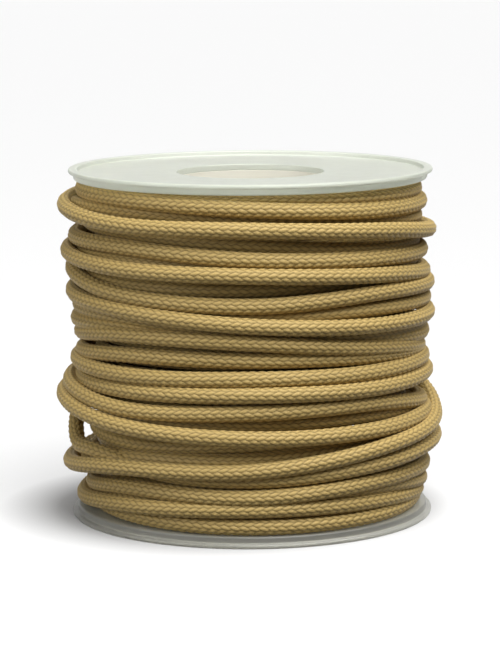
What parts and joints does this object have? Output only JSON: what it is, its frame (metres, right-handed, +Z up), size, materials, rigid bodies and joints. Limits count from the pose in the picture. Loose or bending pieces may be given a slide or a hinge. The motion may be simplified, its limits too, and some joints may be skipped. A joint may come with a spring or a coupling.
{
  "type": "paracord on a spool",
  "caption": "Golden tan braided cord wound loosely and unevenly on a clear plastic spool with two flat round flanges and an open bore.",
  "frame": {"origin": "on the spool's axis, in the plane that the lower flange stands on", "axes": "+Z up along the spool's axis, -Y towards the front of the winding that the picture shows, +X to the right of that front"},
  "size_m": [0.075, 0.0726, 0.0671],
  "materials": {
    "cord": "golden tan braided cord, each strand with a soft sheen",
    "spool_plastic": "clear, slightly milky moulded plastic"
  },
  "bodies": {
    "root": {"cord_winding": "cord", "core_tube": "spool_plastic", "flange_bottom": "spool_plastic", "flange_top": "spool_plastic"}
  },
  "joints": []
}
